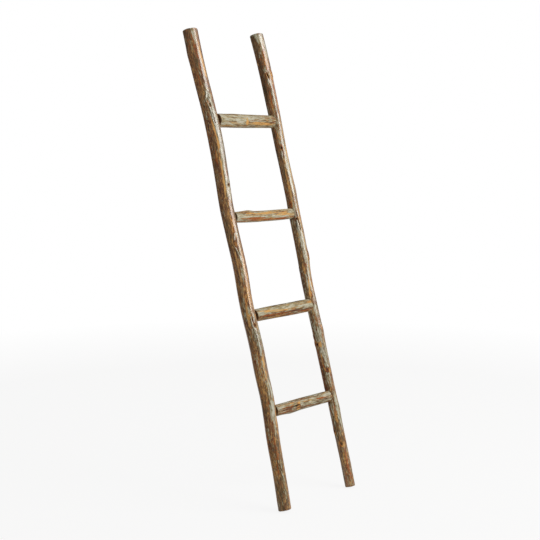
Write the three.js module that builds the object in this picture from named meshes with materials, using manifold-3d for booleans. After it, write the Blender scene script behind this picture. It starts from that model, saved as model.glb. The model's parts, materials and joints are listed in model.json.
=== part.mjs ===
// Decorative pole ladder, leaning as it stands in use, in millimetres with +Z up.
// Two crooked round rails carry four round rungs. Each rung has a turned tenon at both ends,
// seated in a blind socket of the rail, and one screw from the back of the rail locks it.
// The ladder is built upright, with x across it, y towards the wall and z along the rails,
// and is then leaned back as one group. Its front faces -Y.

import * as THREE from 'three';
import { mergeVertices } from 'three/addons/utils/BufferGeometryUtils.js';
import Module from 'manifold-3d';

const wasm = await Module();
wasm.setup();

// Whole ladder
const lean_angle = 15.6;          // degrees off the vertical, top towards the wall
const rail_spacing = 363;         // between the straight lines that the rails wander about
const first_rung_height = 360;    // along the rails, from the left rail's sawn foot
const rung_pitch = 370;           // from one rung to the next, along the rails
const fit_clearance = 0.3;        // between any two pieces that touch

// Rails
const left_rail_length = 1827;
const left_foot_diameter = 48.5;
const left_top_diameter = 58;
const right_rail_length = 1832;
const right_foot_diameter = 40;
const right_top_diameter = 53.5;
const rail_wander = 10;           // what a wander of 1 in the lists below stands for
const end_chamfer = 2.5;          // worn edge round each sawn end

// Rungs, numbered from the bottom
const rung_1_diameter = 43.5;
const rung_2_diameter = 49.5;
const rung_3_diameter = 42.5;
const rung_4_diameter = 52;
const shoulder_chamfer = 2;       // eased rim of a rung's flat shoulder

// Tenons and the screws that lock them
const tenon_diameter = 22;
const tenon_reach = 9;            // how far a tenon runs past the rail's middle line
const tenon_chamfer = 1.5;
const screw_diameter = 4;
const screw_length = 28;          // under the head
const screw_point_length = 6;
const screw_head_diameter = 8;
const screw_head_height = 2.5;
const plug_diameter = 10;
const plug_thickness = 3.5;

// Natural surface of the poles
const out_of_round = 0.8;
const knot_rise = 3;              // rise of a knot whose size is 1
const knot_half_length = 26;      // along the grain
const knot_half_width = 13;       // round the pole

// Fineness of the facets
const rail_sides = 20;
const rung_sides = 18;
const screw_sides = 10;
const plug_sides = 14;
const rail_ring_spacing = 31;
const rung_ring_spacing = 26;

// Each rail wanders about its straight line. A bend gives the share of the rail's length,
// the wander across the ladder and towards the wall, and the girth as a share of an even taper.
// A knot gives the share of the length, the side in degrees (0 is +x, 90 the wall) and its size.
const left_rail = {
  name: 'left_rail',
  side: -1,
  length: left_rail_length,
  foot_diameter: left_foot_diameter,
  top_diameter: left_top_diameter,
  bends: [
    [0.00, -0.72, 0.35, 1.02],
    [0.06, -0.22, 0.28, 0.99],
    [0.14, -0.03, 0.04, 0.98],
    [0.22, 0.30, -0.76, 1.00],
    [0.28, 0.05, -0.64, 1.01],
    [0.33, 0.19, -0.65, 1.01],
    [0.42, 0.00, 0.00, 0.99],
    [0.49, 0.36, -0.08, 1.00],
    [0.57, 0.23, 0.35, 0.96],
    [0.62, 0.11, 0.47, 0.98],
    [0.69, 0.32, -0.04, 0.98],
    [0.75, 0.31, -0.47, 1.01],
    [0.82, 0.08, -0.52, 0.99],
    [0.89, -0.36, -0.06, 0.98],
    [0.95, -0.52, 0.40, 1.01],
    [1.00, -0.45, 0.62, 1.00],
  ],
  knots: [
    [0.17, -50, 0.5],
    [0.38, -110, 0.4],
    [0.54, -130, 0.6],
    [0.70, 60, 0.6],
    [0.85, -115, 0.6],
    [0.95, 140, 0.5],
  ],
};

const right_rail = {
  name: 'right_rail',
  side: 1,
  length: right_rail_length,
  foot_diameter: right_foot_diameter,
  top_diameter: right_top_diameter,
  bends: [
    [0.00, 0.50, 0.10, 1.01],
    [0.06, 0.38, -0.05, 0.99],
    [0.17, 0.22, 0.07, 0.97],
    [0.22, 0.19, 0.24, 0.96],
    [0.32, -0.01, 0.31, 0.98],
    [0.37, -0.26, 0.27, 0.97],
    [0.45, -0.52, 0.25, 0.96],
    [0.51, -0.33, -0.09, 0.98],
    [0.59, -0.25, -0.18, 0.96],
    [0.65, -0.06, -0.08, 0.93],
    [0.74, 0.04, 0.40, 0.92],
    [0.83, 0.17, 0.41, 0.98],
    [0.93, -0.17, 0.33, 0.98],
    [0.97, -0.41, 0.44, 1.00],
    [1.00, -0.78, 0.53, 1.02],
  ],
  knots: [
    [0.09, -138, 0.4],
    [0.17, -45, 0.9],
    [0.25, -117, 0.5],
    [0.34, -45, 0.9],
    [0.50, -50, 0.8],
    [0.65, -45, 0.7],
    [0.74, -133, 0.5],
    [0.90, -122, 0.5],
  ],
};

// A rung gives how far each end sits off the even pitch, how far its middle bows and how much
// its diameter grows from left to right, in millimetres. Its knots give the share of its length
// from the left, the side in degrees (0 is the wall, 90 up) and the size.
const rungs = [
  { diameter: rung_1_diameter, left_rise: 1, right_rise: 0, bow: 0, taper: 0.4,
    knots: [[0.31, -95, 1.3], [0.58, 175, 0.3]] },
  { diameter: rung_2_diameter, left_rise: -8, right_rise: -4.5, bow: 0, taper: 3.6,
    knots: [[0.80, 80, 0.3]] },
  { diameter: rung_3_diameter, left_rise: 0, right_rise: -5.5, bow: -2, taper: 0.8,
    knots: [[0.24, 92, 1.1]] },
  { diameter: rung_4_diameter, left_rise: 2, right_rise: 1, bow: 0, taper: -2.4,
    knots: [[0.35, 88, 0.4]] },
];

const rail_wood = new THREE.MeshStandardMaterial({ color: '#7c6145', roughness: 0.5 });
const rung_wood = new THREE.MeshStandardMaterial({ color: '#a5956f', roughness: 0.6 });
const plug_wood = new THREE.MeshStandardMaterial({ color: '#8d7350', roughness: 0.6 });
const screw_steel = new THREE.MeshStandardMaterial({ color: '#8f8f8c', roughness: 0.4, metalness: 1 });

const lean = THREE.MathUtils.degToRad(lean_angle);

// Value of one column of a bend list at any share of the length, on a smooth curve through all
function bendValue(bends, column, share) {
  let i = 0;
  while (i < bends.length - 2 && share > bends[i + 1][0]) i += 1;
  const slope = (a, b) => (bends[b][column] - bends[a][column]) / (bends[b][0] - bends[a][0]);
  const last = bends.length - 1;
  const gap = bends[i + 1][0] - bends[i][0];
  const slope_in = i > 0 ? slope(i - 1, i + 1) : slope(i, i + 1);
  const slope_out = i + 1 < last ? slope(i, i + 2) : slope(i, i + 1);
  const t = (share - bends[i][0]) / gap;
  const start = bends[i][column] * (2 * t ** 3 - 3 * t ** 2 + 1);
  const end = bends[i + 1][column] * (3 * t ** 2 - 2 * t ** 3);
  const leaving = slope_in * gap * (t ** 3 - 2 * t ** 2 + t);
  const arriving = slope_out * gap * (t ** 3 - t ** 2);
  return start + end + leaving + arriving;
}

// Furthest point of a rail's sawn foot towards the wall, where the leaning rail meets the floor
function footRim(rail) {
  const [, , towards_wall, girth] = rail.bends[0];
  return rail_wander * towards_wall + girth * rail.foot_diameter / 2 - end_chamfer;
}

// A rail as a pole: its middle line, its section directions and its radius at any height.
// Its foot is sawn where its rim reaches the floor on which the left rail stands.
function railPole(rail) {
  const foot = (footRim(rail) - footRim(left_rail)) * Math.tan(lean);
  return {
    foot,
    length: rail.length,
    u: new THREE.Vector3(1, 0, 0),
    v: new THREE.Vector3(0, 1, 0),
    knots: rail.knots,
    centre(along) {
      const share = along / rail.length;
      return new THREE.Vector3(
        rail.side * rail_spacing / 2 + rail_wander * bendValue(rail.bends, 1, share),
        rail_wander * bendValue(rail.bends, 2, share),
        foot + along,
      );
    },
    radius(along) {
      const share = along / rail.length;
      const even = THREE.MathUtils.lerp(rail.foot_diameter, rail.top_diameter, share) / 2;
      return even * bendValue(rail.bends, 3, share);
    },
  };
}

// A rung as a pole between the middle lines of the two rails
function rungPole(rung, start, end) {
  const axis = end.clone().sub(start).normalize();
  const v = new THREE.Vector3(0, 0, 1).addScaledVector(axis, -axis.z).normalize();
  const length = start.distanceTo(end);
  const straight = (along) => start.clone().addScaledVector(axis, along);
  return {
    length,
    axis,
    u: v.clone().cross(axis),
    v,
    knots: rung.knots,
    straight,
    centre(along) {
      return straight(along).addScaledVector(v, rung.bow * Math.sin(Math.PI * along / length));
    },
    radius(along) {
      return (rung.diameter + rung.taper * (along / length - 0.5)) / 2;
    },
  };
}

// Distance from the middle line to the surface, with the pole's slow unevenness and its knots
function surfaceRadius(pole, along, angle) {
  const turn = 2 * Math.PI * along / pole.length;
  let radius = pole.radius(along) + out_of_round * Math.cos(2 * angle + turn) / 2;
  for (const [share, side, size] of pole.knots) {
    const off_along = (along - share * pole.length) / knot_half_length;
    const off_angle = angle - THREE.MathUtils.degToRad(side);
    const nearest = Math.atan2(Math.sin(off_angle), Math.cos(off_angle));
    const off_round = nearest * radius / knot_half_width;
    radius += knot_rise * size * Math.exp(-(off_along ** 2) - off_round ** 2);
  }
  return radius;
}

function pointAt(pole, along, angle, radius) {
  return pole.centre(along)
    .addScaledVector(pole.u, radius * Math.cos(angle))
    .addScaledVector(pole.v, radius * Math.sin(angle));
}

// One ring of points round a pole. Its radius comes from the given function of the angle.
function ring(pole, along, sides, radius_at) {
  const points = [];
  for (let i = 0; i < sides; i += 1) {
    const angle = 2 * Math.PI * i / sides;
    points.push(pointAt(pole, along, angle, radius_at(angle)));
  }
  return points;
}

// Closed skin through a row of rings, with a flat fan over each end
function loft(rings) {
  const sides = rings[0].length;
  const points = rings.flat();
  const faces = [];
  for (let j = 0; j < rings.length - 1; j += 1) {
    for (let i = 0; i < sides; i += 1) {
      const a = j * sides + i;
      const b = j * sides + (i + 1) % sides;
      faces.push(a, b, b + sides, a, b + sides, a + sides);
    }
  }
  const middle = (row) => row.reduce((sum, p) => sum.add(p), new THREE.Vector3()).divideScalar(sides);
  points.push(middle(rings[0]), middle(rings.at(-1)));
  const first = points.length - 2;
  const top = (rings.length - 1) * sides;
  for (let i = 0; i < sides; i += 1) {
    const next = (i + 1) % sides;
    faces.push(first, next, i, first + 1, top + i, top + next);
  }
  const geometry = new THREE.BufferGeometry().setFromPoints(points);
  geometry.setIndex(faces);
  return geometry;
}

// Closed solid of a geometry, for joining and cutting
function solid(geometry) {
  const bare = geometry.clone();
  bare.deleteAttribute('normal');
  bare.deleteAttribute('uv');
  const merged = mergeVertices(bare, 1e-4);
  return new wasm.Manifold(new wasm.Mesh({
    numProp: 3,
    vertProperties: new Float32Array(merged.attributes.position.array),
    triVerts: new Uint32Array(merged.index.array),
  }));
}

function mesh(name, body, material) {
  const { vertProperties, triVerts } = body.getMesh();
  const geometry = new THREE.BufferGeometry();
  geometry.setAttribute('position', new THREE.BufferAttribute(new Float32Array(vertProperties), 3));
  geometry.setIndex(new THREE.BufferAttribute(new Uint32Array(triVerts), 1));
  geometry.computeVertexNormals();
  const object = new THREE.Mesh(geometry, material);
  object.name = name;
  return object;
}

// Round solid turned from a profile of [radius, distance] pairs along an axis from a point
function turned(profile, from, axis, sides) {
  const points = profile.map(([radius, distance]) => new THREE.Vector2(radius, distance));
  const geometry = new THREE.LatheGeometry(points, sides);
  const swing = new THREE.Quaternion().setFromUnitVectors(new THREE.Vector3(0, 1, 0), axis);
  geometry.applyQuaternion(swing).translate(from.x, from.y, from.z);
  return solid(geometry);
}

function rod(radius, from, axis, start, end, sides) {
  return turned([[0, start], [radius, start], [radius, end], [0, end]], from, axis, sides);
}

// Rail: rings at an even spacing and on each knot's crest, with a chamfered square cut at both ends
function railBody(pole) {
  const inner = pole.length - end_chamfer;
  const count = Math.round(pole.length / rail_ring_spacing);
  const heights = pole.knots.map(([share]) => share * pole.length);
  for (let i = 1; i < count; i += 1) {
    const even = pole.length * i / count;
    if (heights.every((height) => Math.abs(height - even) > rail_ring_spacing / 3)) heights.push(even);
  }
  heights.push(end_chamfer, inner);
  heights.sort((a, b) => a - b);
  const skin = (along, inset) => (
    ring(pole, along, rail_sides, (angle) => surfaceRadius(pole, along, angle) - inset));
  const rings = heights.map((along) => skin(along, 0));
  return solid(loft([skin(0, end_chamfer), ...rings, skin(pole.length, end_chamfer)]));
}

// How far a rung's flat shoulder stands off the rail's middle line to clear the rail's surface:
// the furthest point of the rail inside the rung's own round outline, and the clearance
function shoulderDistance(rail_body, centre, inward, rung_radius) {
  const outline = rod(rung_radius + out_of_round, centre, inward, 0, rail_spacing / 2, rung_sides);
  const { vertProperties } = rail_body.intersect(outline).getMesh();
  let reach = 0;
  for (let i = 0; i < vertProperties.length; i += 3) {
    const point = new THREE.Vector3().fromArray(vertProperties, i).sub(centre);
    reach = Math.max(reach, point.dot(inward));
  }
  return reach + fit_clearance;
}

// Rung: tenon, flat shoulder with an eased rim, the natural pole, and the same at the other end
function rungBody(pole, left_shoulder, right_shoulder) {
  const tenon = tenon_diameter / 2;
  const right = pole.length - right_shoulder;
  const turned_line = { ...pole, centre: pole.straight };
  const round = (along, radius) => ring(turned_line, along, rung_sides, () => radius);
  const skin = (along, inset) => (
    ring(pole, along, rung_sides, (angle) => surfaceRadius(pole, along, angle) - inset));
  const rings = [
    round(-tenon_reach, tenon - tenon_chamfer),
    round(-tenon_reach + tenon_chamfer, tenon),
    round(left_shoulder, tenon),
    skin(left_shoulder, shoulder_chamfer),
  ];
  const from = left_shoulder + shoulder_chamfer;
  const to = right - shoulder_chamfer;
  const count = Math.round((to - from) / rung_ring_spacing);
  for (let i = 0; i <= count; i += 1) rings.push(skin(THREE.MathUtils.lerp(from, to, i / count), 0));
  rings.push(
    skin(right, shoulder_chamfer),
    round(right, tenon),
    round(pole.length + tenon_reach - tenon_chamfer, tenon),
    round(pole.length + tenon_reach, tenon - tenon_chamfer),
  );
  return solid(loft(rings));
}

// Screw hole, screw and plug of one joint, on a line from the rail's back through its middle
function lockingScrew(name, rail, rail_body, along) {
  const back = new THREE.Vector3(0, 1, 0);
  const surface = pointAt(rail, along, Math.PI / 2, surfaceRadius(rail, along, Math.PI / 2));
  const past_surface = rail.radius(along) / 2;
  const head_top = -plug_thickness - fit_clearance;
  const head_seat = head_top - screw_head_height;
  const tip = head_seat - screw_length;
  const shank = screw_diameter / 2;
  const head = screw_head_diameter / 2;
  const head_edge = screw_head_height / 3;
  const plug_bore = rod(plug_diameter / 2 + fit_clearance, surface, back,
    head_seat - fit_clearance, past_surface, plug_sides);
  const shank_bore = rod(shank + fit_clearance, surface, back, tip - fit_clearance, 0, screw_sides);
  const screw = turned([
    [0, tip],
    [shank, tip + screw_point_length],
    [shank, head_seat],
    [head, head_seat],
    [head, head_top - head_edge],
    [head - head_edge, head_top],
    [0, head_top],
  ], surface, back, screw_sides);
  const blank = rod(plug_diameter / 2, surface, back, -plug_thickness, past_surface, plug_sides);
  return {
    hole: plug_bore.add(shank_bore),
    shank_bore,
    pieces: [
      mesh(`${name}_screw`, screw, screw_steel),
      mesh(`${name}_plug`, blank.intersect(rail_body), plug_wood),
    ],
  };
}

// Assembly of the upright ladder
const upright = new THREE.Group();
const sides = [left_rail, right_rail].map((rail) => {
  const pole = railPole(rail);
  const whole = railBody(pole);
  return { name: rail.name, pole, whole, cut: whole };
});
const [left, right] = sides;

rungs.forEach((rung, index) => {
  const even_height = first_rung_height + index * rung_pitch;
  const left_along = even_height + rung.left_rise - left.pole.foot;
  const right_along = even_height + rung.right_rise - right.pole.foot;
  const pole = rungPole(rung, left.pole.centre(left_along), right.pole.centre(right_along));
  const outward = pole.axis.clone().negate();
  const joints = [
    { label: 'left', side: left, along: left_along, inward: pole.axis, end: 0 },
    { label: 'right', side: right, along: right_along, inward: outward, end: pole.length },
  ];
  const shoulders = joints.map(({ side, along, inward, end }) => (
    shoulderDistance(side.whole, side.pole.centre(along), inward, pole.radius(end))));
  let body = rungBody(pole, shoulders[0], shoulders[1]);
  joints.forEach(({ label, side, along, inward }, i) => {
    const centre = side.pole.centre(along);
    const mouth = shoulders[i] + side.pole.radius(along) / 2;
    const socket = rod(tenon_diameter / 2 + fit_clearance, centre, inward,
      -tenon_reach - fit_clearance, mouth, rung_sides);
    const lock = lockingScrew(`rung_${index + 1}_${label}`, side.pole, side.whole, along);
    side.cut = side.cut.subtract(socket).subtract(lock.hole);
    body = body.subtract(lock.shank_bore);
    upright.add(...lock.pieces);
  });
  upright.add(mesh(`rung_${index + 1}`, body, rung_wood));
});
for (const { name, cut } of sides) upright.add(mesh(name, cut, rail_wood));

// Leaned back, and set down with the origin under the middle of its outline on the floor
upright.rotation.x = -lean;
const ladder = new THREE.Group();
ladder.add(upright);
const box = new THREE.Box3().setFromObject(ladder, true);
const middle = box.getCenter(new THREE.Vector3());
upright.position.set(-middle.x, -middle.y, -box.min.z);

export default ladder;
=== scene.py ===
# %% [markdown]
# # A rustic ladder of crooked poles
#
# The real object is a leaning blanket ladder: two peeled poles as rails and four as rungs,
# stained brown, brushed with a thin sage wash and rubbed with wax. The CAD model fixes where
# every pole runs and how the joints fit. Here each pole gets the surface that a saw, a peeling
# knife and the weather leave on it: knots, drying cracks, grain and worn colour.
#
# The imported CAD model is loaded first, and its box is kept, because nothing made here may
# reach outside it.

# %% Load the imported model
import json
import math

import bpy
import numpy as np
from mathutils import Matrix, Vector
from mathutils.bvhtree import BVHTree


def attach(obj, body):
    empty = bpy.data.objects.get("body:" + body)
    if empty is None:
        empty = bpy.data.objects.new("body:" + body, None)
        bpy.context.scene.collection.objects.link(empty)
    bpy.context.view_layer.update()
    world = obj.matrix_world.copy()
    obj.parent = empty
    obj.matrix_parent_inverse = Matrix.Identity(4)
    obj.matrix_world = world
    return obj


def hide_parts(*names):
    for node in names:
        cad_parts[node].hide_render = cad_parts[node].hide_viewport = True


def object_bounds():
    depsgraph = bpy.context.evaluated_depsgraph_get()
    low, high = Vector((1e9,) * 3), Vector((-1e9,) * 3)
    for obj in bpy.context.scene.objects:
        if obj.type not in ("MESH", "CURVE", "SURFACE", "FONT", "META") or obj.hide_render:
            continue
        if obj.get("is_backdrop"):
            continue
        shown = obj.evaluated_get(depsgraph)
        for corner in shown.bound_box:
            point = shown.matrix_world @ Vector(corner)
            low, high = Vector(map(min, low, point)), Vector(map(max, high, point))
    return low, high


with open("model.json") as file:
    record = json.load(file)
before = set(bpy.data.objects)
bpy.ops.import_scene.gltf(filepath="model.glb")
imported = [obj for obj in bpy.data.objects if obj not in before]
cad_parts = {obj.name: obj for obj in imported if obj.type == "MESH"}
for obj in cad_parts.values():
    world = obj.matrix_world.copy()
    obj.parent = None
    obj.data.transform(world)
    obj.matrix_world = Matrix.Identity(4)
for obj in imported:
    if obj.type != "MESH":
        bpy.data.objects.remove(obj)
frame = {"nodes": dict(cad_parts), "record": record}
cad_low, cad_high = (list(corner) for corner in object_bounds())
print("CAD nodes:", len(frame["nodes"]), "box:", cad_low, cad_high)

# %% [markdown]
# ## The camera
#
# The photograph is taken from the front left, a little above the middle of the ladder and with
# a long lens. The place below comes from setting the rails' ends and the rungs' crossings
# against the photograph. The camera isn't rolled, so its turn and its tilt are all it needs.

# %% Place the camera
camera_place = (-3.0012, -2.8333, 1.3906)
camera_turn = math.radians(-46.635)  # clockwise from looking along +Y
camera_tilt = math.radians(7.390)  # downwards
camera_lens = 72  # millimetres, on a 36 mm sensor

lens = bpy.data.cameras.new("camera")
lens.lens = camera_lens
camera = bpy.data.objects.new("camera", lens)
camera.location = camera_place
camera.rotation_euler = (math.pi / 2 - camera_tilt, 0, camera_turn)
bpy.context.scene.collection.objects.link(camera)
bpy.context.scene.camera = camera
print("camera stands", round(math.hypot(*camera_place[:2]), 2), "m from the ladder")

# %% [markdown]
# ## The ladder's own directions
#
# A leaning pole is awkward to work on, so a joiner lays it straight on the bench. The same is
# done here: three directions turn with the ladder, across it, towards the wall and up along the
# rails. The lean comes from the record, where the sole of the left foot says which way it faces.
# Lengths in these directions are in millimetres, as on a drawing.

# %% Turn points to the ladder's directions and back
MM = 0.001
left_foot = next(mount for mount in frame["record"]["mounts"] if mount["name"] == "left_foot")
up_the_rails = -np.array(left_foot["axis"])
across = np.array([1.0, 0.0, 0.0])
towards_wall = np.cross(up_the_rails, across)
ladder_axes = np.stack([across, towards_wall, up_the_rails])


def corners_of(node):
    """A CAD node's corners in the ladder's directions."""
    mesh = frame["nodes"][node].data
    flat = np.empty(3 * len(mesh.vertices), np.float32)
    mesh.vertices.foreach_get("co", flat)
    return flat.reshape(-1, 3).astype(float) @ ladder_axes.T / MM


def as_it_stands(points):
    """Points in the ladder's directions, as places in the scene held inside the CAD box."""
    return np.clip(points @ ladder_axes * MM, cad_low, cad_high)


lean = math.degrees(math.atan2(up_the_rails[1], up_the_rails[2]))
print("the ladder leans", round(lean, 2), "degrees")

# %% [markdown]
# ## Reading the rings of a pole
#
# Each pole of the CAD model is a row of rings with some twenty corners each, which is enough to
# say how it bends and swells. The circle that passes nearest to a ring's corners gives its
# middle, and the corners' distances from there give its section. The holes for tenons and
# screws take a few corners away, and the section is carried across each such gap. Their own
# corners lie at many heights, too few at each to be taken for a ring.

# %% Find the rings
RING_GAP = 0.02  # corners nearer together than this, along the pole, are one ring
FEWEST_CORNERS = 60  # a corner is stored once for each face that meets there
OUTER_SHARE = 0.75  # corners nearer to the middle than this share belong to a hole


def circle_through(x, y):
    """Middle and radius of the circle nearest to some points."""
    terms = np.stack([2 * x, 2 * y, np.ones_like(x)], axis=1)
    a, b, rest = np.linalg.lstsq(terms, x**2 + y**2, rcond=None)[0]
    return a, b, math.sqrt(rest + a**2 + b**2)


def rings_of(points, axes, angles):
    """A row for each ring: distance along, middle, mean radius, and radius at each angle."""
    x, y, along = axes @ points.T
    order = np.argsort(along)
    breaks = np.flatnonzero(np.diff(along[order]) > RING_GAP) + 1
    rings = []
    for ring in np.split(order, breaks):
        reach = np.hypot(x[ring] - np.median(x[ring]), y[ring] - np.median(y[ring]))
        ring = ring[reach > OUTER_SHARE * reach.max()]
        if len(ring) < FEWEST_CORNERS:
            continue
        a, b, radius = circle_through(x[ring], y[ring])
        turn = np.arctan2(y[ring] - b, x[ring] - a)
        section = np.interp(
            angles, turn, np.hypot(x[ring] - a, y[ring] - b), period=2 * math.pi
        )
        rings.append([along[ring].mean(), a, b, radius, *section])
    return np.array(rings)


rail_axes = np.eye(3)  # a rail runs along the ladder's own directions
four_sides = np.arange(4) * math.pi / 2
found = rings_of(corners_of("left_rail"), rail_axes, four_sides)
print("left rail:", len(found), "rings over", round(found[-1, 0] - found[0, 0], 1), "mm")

# %% [markdown]
# ## A pole without facets
#
# The rings are joined at even steps and then blurred a little, both along the pole and round
# it. The flat facets turn into one soft form that runs through the same places. The first and
# last rings belong to the sawn ends or the tenons, which are made separately below.

# %% Read a pole
EVEN_STEP = 2.0
BLUR_ALONG = 7.0
BLUR_ROUND = math.radians(5)


def blurred(values, steps, closed=False):
    """Values blurred down their first axis by a bell of that width, round a loop if closed."""
    reach = math.ceil(3 * steps)
    bell = np.exp(-0.5 * (np.arange(-reach, reach + 1) / steps) ** 2)
    padded = np.pad(values, ((reach, reach), (0, 0)), mode="wrap" if closed else "edge")
    rows = [weight * padded[i : i + len(values)] for i, weight in enumerate(bell / bell.sum())]
    return sum(rows)


class Pole:
    """A pole read from its CAD node. Distances along it start where its natural skin does."""

    def __init__(self, node, axes, sides, cut_rings):
        self.node, self.axes, self.sides = node, axes, sides
        self.angles = np.linspace(-math.pi, math.pi, sides, endpoint=False)
        rings = rings_of(corners_of(node), axes, self.angles)
        self.origin = rings[cut_rings - 1, 0]
        rings[:, 0] -= self.origin
        self.length = rings[-cut_rings, 0]
        self.first, self.last = rings[0, 0], rings[-1, 0]
        self.peg_radius = rings[1, 3]
        self.even = np.arange(self.first, self.last + EVEN_STEP, EVEN_STEP)
        skin = rings[cut_rings:-cut_rings]
        middle = [np.interp(self.even, rings[:, 0], column) for column in rings[:, 1:3].T]
        section = [np.interp(self.even, skin[:, 0], column) for column in skin[:, 4:].T]
        self.middle = blurred(np.stack(middle, 1), BLUR_ALONG / EVEN_STEP)
        section = blurred(np.stack(section, 1), BLUR_ALONG / EVEN_STEP)
        self.section = blurred(section.T, BLUR_ROUND * sides / (2 * math.pi), closed=True).T
        self.arc = 2 * math.pi * self.section.mean() / sides

    def rows(self, values, along):
        """Rows that are kept at even steps, read at any distances along the pole."""
        place = np.clip((along - self.first) / EVEN_STEP, 0, len(self.even) - 1.001)
        low = place.astype(int)
        part = (place - low)[..., None]
        return values[low] * (1 - part) + values[low + 1] * part

    def places(self, along, radius, angle):
        """Points in the ladder's directions, from their places on this pole."""
        middle = self.rows(self.middle, along)
        x = middle[..., 0] + radius * np.cos(angle)
        y = middle[..., 1] + radius * np.sin(angle)
        return np.stack([x, y, along + self.origin], axis=-1) @ self.axes


RAIL_SIDES = 136
left_rail = Pole("left_rail", rail_axes, RAIL_SIDES, cut_rings=1)
right_rail = Pole("right_rail", rail_axes, RAIL_SIDES, cut_rings=1)
for pole in (left_rail, right_rail):
    print(pole.node, round(pole.length, 1), "mm long, foot", round(2 * pole.section[0].mean(), 1),
          "and top", round(2 * pole.section[-1].mean(), 1), "mm across")

# %% [markdown]
# A rung runs from one rail's middle to the other's, which is nearly but not quite square to
# them. Its own direction is the line between the tips of its two tenons.

# %% Read the rungs
RUNG_SIDES = 120
END_REACH = 1.0  # corners this near a tenon's tip belong to its end


def rung_axes(node):
    """Towards the wall, up and along, square to one another, for a rung."""
    points = corners_of(node)
    left, right = points[:, 0].min(), points[:, 0].max()
    start = points[points[:, 0] < left + END_REACH].mean(axis=0)
    end = points[points[:, 0] > right - END_REACH].mean(axis=0)
    along = (end - start) / np.linalg.norm(end - start)
    up = np.array([0.0, 0.0, 1.0]) - along[2] * along
    up /= np.linalg.norm(up)
    return np.stack([np.cross(up, along), up, along])


rungs = [
    Pole(f"rung_{i}", rung_axes(f"rung_{i}"), RUNG_SIDES, cut_rings=3) for i in (1, 2, 3, 4)
]
for pole in rungs:
    print(pole.node, round(pole.length, 1), "mm between shoulders, tenon",
          round(2 * pole.peg_radius, 1), "mm, first", round(pole.first, 1))

# %% [markdown]
# ## The skin of a pole
#
# The skin is a sheet of points wrapped round the pole, in rows. For every point it keeps how far
# the wood stands out there, and what the finish needs: how much wash is left, how bare and how
# rusty the wood is, how dark it is painted (darker knot wood, and painted shade in hollows,
# cracks, grooves and holes), how well it is waxed, and how far the grain is pushed aside by a
# knot. The rows lie closer together where there is more to show.
#
# A place on a pole is told as a carpenter would mark it: so far along, and so far round from the
# line that faces the camera, to the right on a rail and downwards on a rung.

# %% Lay out the rows and the sheet
WIDE_ROWS = 3.4
CLOSE_ROWS = 1.35
END_ROWS = 0.3
END_EASE = 4  # rows widen by a millimetre over this distance from an end
BUSY_REACH = 16.0
WALK_STEPS = 4  # to a millimetre


def row_distances(length, busy):
    """Distances along a pole for the rows of its skin, closer together near the busy places."""
    walk = np.linspace(0, length, math.ceil(WALK_STEPS * length))
    nearest = np.abs(walk[:, None] - np.array(busy)[None, :]).min(axis=1)
    spacing = WIDE_ROWS - (WIDE_ROWS - CLOSE_ROWS) * np.exp(-((nearest / BUSY_REACH) ** 4))
    spacing = np.minimum(spacing, END_ROWS + np.minimum(walk, length - walk) / END_EASE)
    passed = np.concatenate([[0], np.cumsum(np.diff(walk) / spacing[1:])])
    return np.interp(np.linspace(0, passed[-1], math.ceil(passed[-1])), passed, walk)


RAIL_FACING, RUNG_FACING = math.radians(-136.6), math.radians(184.9)  # towards the camera


def shorter_way(turn):
    """Turns as angles that go the shorter way round."""
    return (turn + math.pi) % (2 * math.pi) - math.pi


class Skin:
    """The sheet of points round a pole, and what the wood is like at each of them."""

    def __init__(self, pole, busy, seed, facing=RAIL_FACING):
        self.pole, self.facing = pole, facing
        self.chance = np.random.default_rng(seed)
        self.along = row_distances(pole.length, busy)[:, None]
        self.angle = pole.angles[None, :]
        self.radius = pole.rows(pole.section, self.along[:, 0])
        kinds = np.zeros((7, *self.radius.shape))
        self.relief, self.wash, self.bare, self.rust, self.deep, self.wax, self.aside = kinds

    def streaks(self, long, wide):
        """Soft random streaks of about that length and width, without a seam round the pole."""
        noise = self.chance.standard_normal(self.pole.section.shape)
        up = np.fft.fftfreq(noise.shape[0], EVEN_STEP)[:, None] * long
        round_ = np.fft.fftfreq(noise.shape[1], self.pole.arc)[None, :] * wide
        soft = np.fft.ifft2(np.fft.fft2(noise) * np.exp(-2 * math.pi**2 * (up**2 + round_**2)))
        return self.pole.rows(soft.real / soft.real.std(), self.along[:, 0])

    def round_from(self, out):
        """How far round the pole every point is from a line, the shorter way."""
        turn = self.angle - self.facing - out / self.radius.mean(axis=1, keepdims=True)
        return shorter_way(turn) * self.radius

    def off(self, along, out, tilt=0.0):
        """How far every point is from a place, with the grain and across it."""
        up, round_ = self.along - along, self.round_from(out)
        slope = math.radians(tilt)
        return (up * math.cos(slope) + round_ * math.sin(slope),
                round_ * math.cos(slope) - up * math.sin(slope))

    def line(self, points):
        """How far round every point is from a bent line, and how near to the line's middle."""
        along, out = np.array(sorted(points), float).T
        place = np.interp(self.along, along, out)
        share = 2 * (self.along - along.mean()) / np.ptp(along)
        return self.round_from(place), np.sqrt(np.clip(1 - share**4, 0, 1))


trial = Skin(left_rail, [700], seed=1)
print("rows and sides of a skin:", trial.radius.shape)

# %% [markdown]
# ## What nature and the knife leave
#
# A peeled pole is never quite round. Long shallow flats come from the peeling knife, finer
# ribs from the fibres, and a slow swelling from the tree itself. Everything is cut into the
# form rather than added on top of it, so on average the pole is no thicker than was measured.

# %% Peel a pole
SKIN_DEPTH = 0.35  # how far the peeled surface lies inside the measured one, on average


def peel(skin):
    """Knife flats, fibres and slow swellings over the whole skin."""
    skin.relief += 0.32 * skin.streaks(long=42, wide=8) + 0.22 * skin.streaks(long=95, wide=3.4)
    skin.relief += 0.07 * skin.streaks(long=6, wide=2.2) - SKIN_DEPTH
    skin.ragged = skin.streaks(long=22, wide=2.2)
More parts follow.
